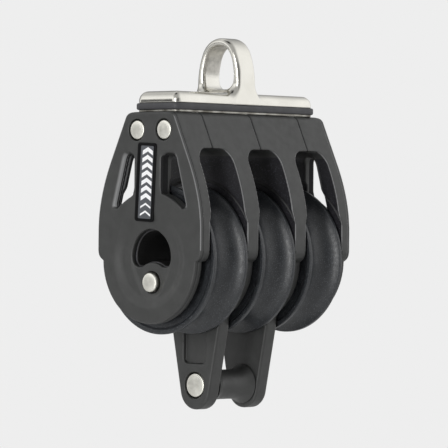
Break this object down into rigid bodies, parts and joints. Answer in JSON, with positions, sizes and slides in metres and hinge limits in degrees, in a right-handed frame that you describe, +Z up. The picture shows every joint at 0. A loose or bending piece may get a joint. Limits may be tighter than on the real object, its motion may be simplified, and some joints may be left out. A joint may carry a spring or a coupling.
{
  "type": "triple pulley block",
  "caption": "Ball-bearing rope pulley block with side-by-side sheaves in black composite cheeks, a fixed stainless head eye and a rope becket below.",
  "frame": {"origin": "crown of the head eye's hole, where a shackle bears", "axes": "+Z up through the head eye; +Y along the axle, away from the near cheek; +X across the cheeks"},
  "size_m": [0.03, 0.0452, 0.0752],
  "materials": {
    "black_composite": "moulded glass-filled nylon, satin",
    "sheave_composite": "moulded composite, fine sparkle grain",
    "acetal": "polished balls",
    "polished_stainless": "mirror polished cast stainless",
    "rivet_stainless": "turned satin stainless",
    "pad_plastic": "moulded, satin",
    "label_film": "printed film"
  },
  "bodies": {
    "block_body": {"cheek_outer_near": "black_composite", "cheek_middle_near": "black_composite", "cheek_middle_far": "black_composite", "cheek_outer_far": "black_composite", "head_eye": "polished_stainless", "head_pad": "pad_plastic", "head_shim": "rivet_stainless", "head_rivet_left": "rivet_stainless", "head_rivet_right": "rivet_stainless", "hub_rivet": "rivet_stainless", "hub_near": "black_composite", "hub_middle": "black_composite", "hub_far": "black_composite", "becket_rivet": "rivet_stainless", "becket_sleeve": "rivet_stainless", "label_near": "label_film", "label_far": "label_film"},
    "sheave_near": {"sheave_near": "sheave_composite"},
    "ball_row_near_a": {"ball_row_near_a": "acetal"},
    "ball_row_near_b": {"ball_row_near_b": "acetal"},
    "sheave_middle": {"sheave_middle": "sheave_composite"},
    "ball_row_middle_a": {"ball_row_middle_a": "acetal"},
    "ball_row_middle_b": {"ball_row_middle_b": "acetal"},
    "sheave_far": {"sheave_far": "sheave_composite"},
    "ball_row_far_a": {"ball_row_far_a": "acetal"},
    "ball_row_far_b": {"ball_row_far_b": "acetal"},
    "becket_spool": {"becket_spool": "black_composite"}
  },
  "joints": [
    {"name": "sheave_near_spin", "type": "hinge", "parent": "block_body", "child": "sheave_near", "pos_m": [0, -0.0142, -0.0431], "axis": [0, 1, 0], "continuous": true},
    {"name": "ball_row_near_a_roll", "type": "hinge", "parent": "block_body", "child": "ball_row_near_a", "pos_m": [0, -0.0169, -0.0431], "axis": [0, 1, 0], "continuous": true},
    {"name": "ball_row_near_b_roll", "type": "hinge", "parent": "block_body", "child": "ball_row_near_b", "pos_m": [0, -0.0115, -0.0431], "axis": [0, 1, 0], "continuous": true},
    {"name": "sheave_middle_spin", "type": "hinge", "parent": "block_body", "child": "sheave_middle", "pos_m": [0, 0, -0.0431], "axis": [0, 1, 0], "continuous": true},
    {"name": "ball_row_middle_a_roll", "type": "hinge", "parent": "block_body", "child": "ball_row_middle_a", "pos_m": [0, -0.0027, -0.0431], "axis": [0, 1, 0], "continuous": true},
    {"name": "ball_row_middle_b_roll", "type": "hinge", "parent": "block_body", "child": "ball_row_middle_b", "pos_m": [0, 0.0027, -0.0431], "axis": [0, 1, 0], "continuous": true},
    {"name": "sheave_far_spin", "type": "hinge", "parent": "block_body", "child": "sheave_far", "pos_m": [0, 0.0142, -0.0431], "axis": [0, 1, 0], "continuous": true},
    {"name": "ball_row_far_a_roll", "type": "hinge", "parent": "block_body", "child": "ball_row_far_a", "pos_m": [0, 0.0115, -0.0431], "axis": [0, 1, 0], "continuous": true},
    {"name": "ball_row_far_b_roll", "type": "hinge", "parent": "block_body", "child": "ball_row_far_b", "pos_m": [0, 0.0169, -0.0431], "axis": [0, 1, 0], "continuous": true},
    {"name": "becket_spool_spin", "type": "hinge", "parent": "block_body", "child": "becket_spool", "pos_m": [0, 0, -0.0685], "axis": [0, 1, 0], "continuous": true}
  ],
  "couplings": [
    {"joint": "ball_row_near_a_roll", "follows": "sheave_near_spin", "ratio": 0.5661},
    {"joint": "ball_row_near_b_roll", "follows": "sheave_near_spin", "ratio": 0.5661},
    {"joint": "ball_row_middle_a_roll", "follows": "sheave_middle_spin", "ratio": 0.5661},
    {"joint": "ball_row_middle_b_roll", "follows": "sheave_middle_spin", "ratio": 0.5661},
    {"joint": "ball_row_far_a_roll", "follows": "sheave_far_spin", "ratio": 0.5661},
    {"joint": "ball_row_far_b_roll", "follows": "sheave_far_spin", "ratio": 0.5661}
  ]
}
